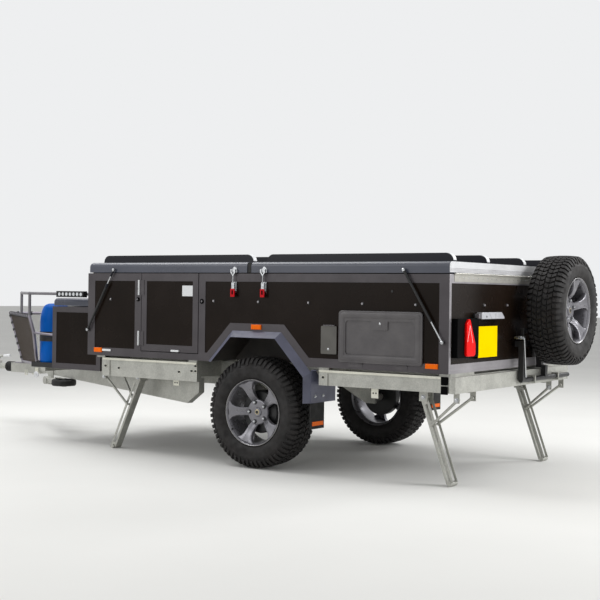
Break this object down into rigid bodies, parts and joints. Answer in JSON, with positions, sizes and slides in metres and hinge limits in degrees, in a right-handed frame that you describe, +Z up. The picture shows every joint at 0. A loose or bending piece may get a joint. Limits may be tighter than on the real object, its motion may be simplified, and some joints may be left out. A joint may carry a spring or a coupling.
{
  "type": "camper trailer",
  "caption": "Off-road camper trailer with hinged roof lids, folding corner legs, side door and a swing-down spare wheel",
  "frame": {"origin": "middle of the bounding box at ground level", "axes": "X runs rearwards along the trailer, Y to its right side seen from behind, Z up"},
  "size_m": [5.6024, 1.98, 1.513],
  "materials": {
    "zinc": "galvanised, satin",
    "boot_rubber": "matte",
    "floor_board": "black faced board",
    "frame_grey": "grey powder coat",
    "panel_black": "gloss black",
    "black_plastic": "grained black",
    "marker_orange": "clear orange",
    "lens_red": "clear red",
    "plate_yellow": "reflective yellow",
    "trim_silver": "satin",
    "latch_steel": "bright",
    "door_panel": "black panel in a grey frame",
    "lid_grey": "grey gel coat",
    "rail_black": "black",
    "rail_grey": "grey paint",
    "black_metal": "black powder coat",
    "chrome_rod": "polished",
    "mesh_bronze": "woven mesh",
    "bottle_blue": "satin blue",
    "tyre": "matte",
    "alloy_dark": "gunmetal"
  },
  "bodies": {
    "trailer": {"chassis_frame": "zinc", "drawbar": "zinc", "coupling_head": "zinc", "coupling_boot": "boot_rubber", "jockey_mount": "zinc", "axle_and_arms": "zinc", "body_floor": "floor_board", "side_frame_left": "frame_grey", "side_frame_right": "frame_grey", "side_panels_left": "panel_black", "side_panels_right": "panel_black", "front_wall": "panel_black", "rear_wall": "panel_black", "wheel_flares": "black_plastic", "mud_flaps": "boot_rubber", "side_markers": "marker_orange", "rear_lamp_housings": "black_plastic", "tail_lamp_lenses": "lens_red", "number_plate": "plate_yellow", "plate_lamp": "trim_silver", "lid_latches": "latch_steel", "hinges_and_pins": "latch_steel", "nose_box": "frame_grey", "nose_box_panels": "panel_black", "stone_guard": "black_metal", "guard_mesh": "mesh_bronze", "support_rack": "rail_grey", "light_bar": "black_metal", "gas_bottle": "bottle_blue", "bottle_holder": "black_metal"},
    "jockey": {"jockey_wheel": "boot_rubber"},
    "front_lid": {"front_lid": "lid_grey", "front_lid_rails": "rail_black", "lid_seal": "boot_rubber"},
    "rear_lid": {"rear_lid": "lid_grey", "rear_lid_rails": "rail_black"},
    "carrier": {"spare_carrier": "black_metal", "spare_tyre": "tyre", "spare_rim": "alloy_dark"},
    "door": {"door": "door_panel"},
    "hatch": {"side_hatch": "black_plastic"},
    "flap": {"hookup_flap": "black_plastic"},
    "nose_lid": {"nose_box_lid": "lid_grey"},
    "front_struts_low": {"front_strut_tubes": "black_metal"},
    "front_struts_high": {"front_strut_rods": "chrome_rod"},
    "rear_struts_low": {"rear_strut_rods": "chrome_rod"},
    "rear_struts_high": {"rear_strut_tubes": "black_metal"},
    "wheel_left": {"tyre_left": "tyre", "rim_left": "alloy_dark"},
    "wheel_right": {"tyre_right": "tyre", "rim_right": "alloy_dark"},
    "leg_front_left": {"leg_front_left": "zinc"},
    "brace_front_left": {"brace_front_left": "zinc"},
    "leg_front_right": {"leg_front_right": "zinc"},
    "brace_front_right": {"brace_front_right": "zinc"},
    "leg_rear_left": {"leg_rear_left": "zinc"},
    "brace_rear_left": {"brace_rear_left": "zinc"},
    "leg_rear_right": {"leg_rear_right": "zinc"},
    "brace_rear_right": {"brace_rear_right": "zinc"}
  },
  "joints": [
    {"name": "wheel_left_spin", "type": "hinge", "parent": "trailer", "child": "wheel_left", "pos_m": [0.96075, -0.838, 0.388], "axis": [0, 1, 0], "continuous": true},
    {"name": "wheel_right_spin", "type": "hinge", "parent": "trailer", "child": "wheel_right", "pos_m": [0.96075, 0.838, 0.388], "axis": [0, 1, 0], "continuous": true},
    {"name": "front_lid_open", "type": "hinge", "parent": "trailer", "child": "front_lid", "pos_m": [-0.64425, 0, 1.358], "axis": [0, -1, 0], "range_deg": [0, 180]},
    {"name": "rear_lid_open", "type": "hinge", "parent": "trailer", "child": "rear_lid", "pos_m": [2.47675, 0, 1.358], "axis": [0, 1, 0], "range_deg": [0, 180]},
    {"name": "carrier_fold", "type": "hinge", "parent": "trailer", "child": "carrier", "pos_m": [2.53675, 0.415, 0.645], "axis": [0, 1, 0], "range_deg": [0, 90]},
    {"name": "front_strut_turn", "type": "hinge", "parent": "trailer", "child": "front_struts_low", "pos_m": [-0.62325, 0, 0.92], "axis": [0, -1, 0], "range_deg": [0, 66.55]},
    {"name": "front_strut_slide", "type": "slide", "parent": "front_struts_low", "child": "front_struts_high", "axis": [0.5014, 0, 0.8652], "range_m": [-0.0122, 0]},
    {"name": "rear_strut_turn", "type": "hinge", "parent": "trailer", "child": "rear_struts_low", "pos_m": [2.43075, 0, 0.925], "axis": [0, 1, 0], "range_deg": [0, 73.75]},
    {"name": "rear_strut_slide", "type": "slide", "parent": "rear_struts_low", "child": "rear_struts_high", "axis": [-0.5249, 0, 0.8511], "range_m": [0, 0.0218]},
    {"name": "door_open", "type": "hinge", "parent": "trailer", "child": "door", "pos_m": [-0.10925, -0.946, 1.06], "axis": [0, 0, -1], "range_deg": [0, 110]},
    {"name": "hatch_open", "type": "hinge", "parent": "trailer", "child": "hatch", "pos_m": [1.97375, -0.946, 0.766], "axis": [1, 0, 0], "range_deg": [0, 90]},
    {"name": "flap_open", "type": "hinge", "parent": "trailer", "child": "flap", "pos_m": [1.58275, -0.946, 1.01], "axis": [-1, 0, 0], "range_deg": [0, 100]},
    {"name": "nose_lid_open", "type": "hinge", "parent": "trailer", "child": "nose_lid", "pos_m": [-0.64825, 0, 1.163], "axis": [0, -1, 0], "range_deg": [-70, 0]},
    {"name": "jockey_spin", "type": "hinge", "parent": "trailer", "child": "jockey", "pos_m": [-1.58048, -0.26411, 0.424], "axis": [0, 0, 1], "continuous": true},
    {"name": "leg_front_left_fold", "type": "hinge", "parent": "trailer", "child": "leg_front_left", "pos_m": [-0.26125, -0.74, 0.562], "axis": [0, -1, 0], "range_deg": [-60, 0]},
    {"name": "brace_front_left_fold", "type": "hinge", "parent": "trailer", "child": "brace_front_left", "pos_m": [-0.53925, -0.74, 0.562], "axis": [0, -1, 0], "range_deg": [-120, 0]},
    {"name": "leg_front_right_fold", "type": "hinge", "parent": "trailer", "child": "leg_front_right", "pos_m": [-0.26125, 0.74, 0.562], "axis": [0, -1, 0], "range_deg": [-60, 0]},
    {"name": "brace_front_right_fold", "type": "hinge", "parent": "trailer", "child": "brace_front_right", "pos_m": [-0.53925, 0.74, 0.562], "axis": [0, -1, 0], "range_deg": [-120, 0]},
    {"name": "leg_rear_left_fold", "type": "hinge", "parent": "trailer", "child": "leg_rear_left", "pos_m": [2.20875, -0.74, 0.562], "axis": [0, 1, 0], "range_deg": [-60, 0]},
    {"name": "brace_rear_left_fold", "type": "hinge", "parent": "trailer", "child": "brace_rear_left", "pos_m": [2.48675, -0.74, 0.562], "axis": [0, 1, 0], "range_deg": [-120, 0]},
    {"name": "leg_rear_right_fold", "type": "hinge", "parent": "trailer", "child": "leg_rear_right", "pos_m": [2.20875, 0.74, 0.562], "axis": [0, 1, 0], "range_deg": [-60, 0]},
    {"name": "brace_rear_right_fold", "type": "hinge", "parent": "trailer", "child": "brace_rear_right", "pos_m": [2.48675, 0.74, 0.562], "axis": [0, 1, 0], "range_deg": [-120, 0]}
  ],
  "couplings": [
    {"joint": "carrier_fold", "follows": "rear_lid_open", "ratio": 0.5},
    {"joint": "front_strut_turn", "follows": "front_lid_open", "ratio": 0.36968},
    {"joint": "front_strut_slide", "follows": "front_lid_open", "m_per_rad": -0.003849},
    {"joint": "rear_strut_turn", "follows": "rear_lid_open", "ratio": 0.40968},
    {"joint": "rear_strut_slide", "follows": "rear_lid_open", "m_per_rad": 0.006905},
    {"joint": "brace_front_left_fold", "follows": "leg_front_left_fold", "ratio": 2},
    {"joint": "brace_front_right_fold", "follows": "leg_front_right_fold", "ratio": 2},
    {"joint": "brace_rear_left_fold", "follows": "leg_rear_left_fold", "ratio": 2},
    {"joint": "brace_rear_right_fold", "follows": "leg_rear_right_fold", "ratio": 2}
  ]
}
